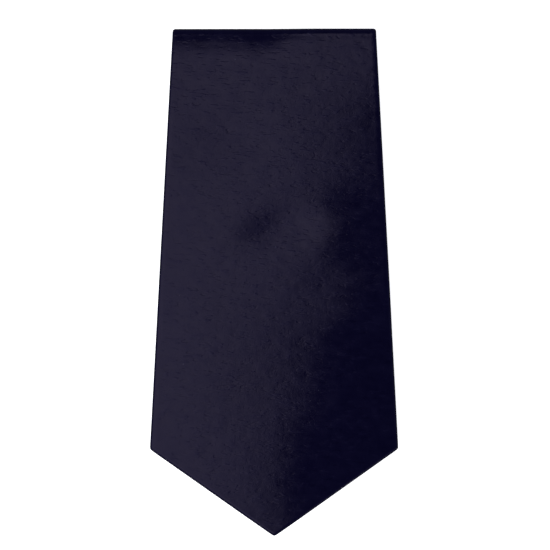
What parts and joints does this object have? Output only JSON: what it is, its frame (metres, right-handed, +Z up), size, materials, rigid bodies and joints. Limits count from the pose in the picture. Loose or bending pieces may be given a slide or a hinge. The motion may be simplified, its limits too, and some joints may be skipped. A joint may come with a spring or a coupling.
{
  "type": "necktie",
  "caption": "Folded satin necktie with a lined blade and tail, bias-seamed shell, keeper loop and slip-stitched back; its panels unfold at the creases.",
  "frame": {"origin": "bottom centre of the folded pack's box, on the surface it lies on", "axes": "+X across the tie, +Y along the panels from the blade's point to its top crease, +Z up, out of the blade's face"},
  "size_m": [0.09, 0.1836, 0.0243],
  "materials": {
    "shell_satin": "dark navy satin, soft sheen",
    "interlining": "brushed wool blend, matt",
    "tipping_lining": "thin dark lining twill",
    "thread": "twisted thread",
    "label_weave": "blank woven label",
    "label_thread": "grey thread",
    "care_tape": "blank white tape"
  },
  "bodies": {
    "panel_1": {"front_blade_shell_1": "shell_satin", "front_interlining_1": "interlining", "crease_shell_1": "shell_satin", "crease_interlining_1": "interlining", "slip_stitch_1": "thread", "front_tipping": "tipping_lining", "front_bar_tack": "thread", "label": "label_weave", "label_stitches": "label_thread", "care_label": "care_tape"},
    "panel_2": {"front_blade_shell_2": "shell_satin", "front_interlining_2": "interlining", "crease_shell_2": "shell_satin", "crease_interlining_2": "interlining", "slip_stitch_2": "thread", "keeper_loop": "shell_satin", "keeper_tacks": "thread"},
    "panel_3": {"front_blade_shell_3": "shell_satin", "front_interlining_3": "interlining", "crease_shell_3": "shell_satin", "crease_interlining_3": "interlining", "slip_stitch_3": "thread"},
    "panel_4": {"front_blade_shell_4": "shell_satin", "front_interlining_4": "interlining", "crease_shell_4": "shell_satin", "crease_interlining_4": "interlining", "slip_stitch_4": "thread"},
    "panel_5": {"front_blade_shell_5": "shell_satin", "neck_shell_5": "shell_satin", "front_interlining_5": "interlining", "crease_shell_5": "shell_satin", "crease_interlining_5": "interlining", "slip_stitch_5": "thread", "blade_neck_seam": "thread"},
    "panel_6": {"neck_shell_6": "shell_satin", "front_interlining_6": "interlining", "tail_interlining_6": "interlining", "crease_shell_6": "shell_satin", "crease_interlining_6": "interlining", "slip_stitch_6": "thread"},
    "panel_7": {"neck_shell_7": "shell_satin", "tail_shell_7": "shell_satin", "tail_interlining_7": "interlining", "crease_shell_7": "shell_satin", "crease_interlining_7": "interlining", "slip_stitch_7": "thread", "neck_tail_seam": "thread"},
    "panel_8": {"tail_shell_8": "shell_satin", "tail_interlining_8": "interlining", "crease_shell_8": "shell_satin", "crease_interlining_8": "interlining", "slip_stitch_8": "thread"},
    "panel_9": {"tail_shell_9": "shell_satin", "tail_interlining_9": "interlining", "slip_stitch_9": "thread", "tail_tipping": "tipping_lining", "tail_bar_tack": "thread"}
  },
  "joints": [
    {"name": "blade_lift", "type": "hinge", "parent": "panel_2", "child": "panel_1", "pos_m": [0, 0.0881, 0.02055], "axis": [-1, 0, 0], "range_deg": [0, 179], "deforming": ["crease_shell_1", "crease_interlining_1"]},
    {"name": "unfold", "type": "hinge", "parent": "panel_2", "child": "panel_3", "pos_m": [0, -0.06705, 0.01665], "axis": [-1, 0, 0], "range_deg": [0, 179], "deforming": ["crease_shell_2", "crease_interlining_2"]},
    {"name": "crease_3", "type": "hinge", "parent": "panel_3", "child": "panel_4", "pos_m": [0, 0.0881, 0.01425], "axis": [1, 0, 0], "range_deg": [0, 179], "deforming": ["crease_shell_3", "crease_interlining_3"]},
    {"name": "crease_4", "type": "hinge", "parent": "panel_4", "child": "panel_5", "pos_m": [0, -0.06705, 0.01185], "axis": [-1, 0, 0], "range_deg": [0, 179], "deforming": ["crease_shell_4", "crease_interlining_4"]},
    {"name": "crease_5", "type": "hinge", "parent": "panel_5", "child": "panel_6", "pos_m": [0, 0.0881, 0.00945], "axis": [1, 0, 0], "range_deg": [0, 179], "deforming": ["crease_shell_5", "crease_interlining_5"]},
    {"name": "crease_6", "type": "hinge", "parent": "panel_6", "child": "panel_7", "pos_m": [0, -0.06705, 0.00705], "axis": [-1, 0, 0], "range_deg": [0, 179], "deforming": ["crease_shell_6", "crease_interlining_6"]},
    {"name": "crease_7", "type": "hinge", "parent": "panel_7", "child": "panel_8", "pos_m": [0, 0.0881, 0.00465], "axis": [1, 0, 0], "range_deg": [0, 179], "deforming": ["crease_shell_7", "crease_interlining_7"]},
    {"name": "crease_8", "type": "hinge", "parent": "panel_8", "child": "panel_9", "pos_m": [0, -0.06705, 0.00225], "axis": [-1, 0, 0], "range_deg": [0, 179], "deforming": ["crease_shell_8", "crease_interlining_8"]}
  ],
  "couplings": [
    {"joint": "crease_3", "follows": "unfold", "ratio": 1},
    {"joint": "crease_4", "follows": "unfold", "ratio": 1},
    {"joint": "crease_5", "follows": "unfold", "ratio": 1},
    {"joint": "crease_6", "follows": "unfold", "ratio": 1},
    {"joint": "crease_7", "follows": "unfold", "ratio": 1},
    {"joint": "crease_8", "follows": "unfold", "ratio": 1}
  ]
}
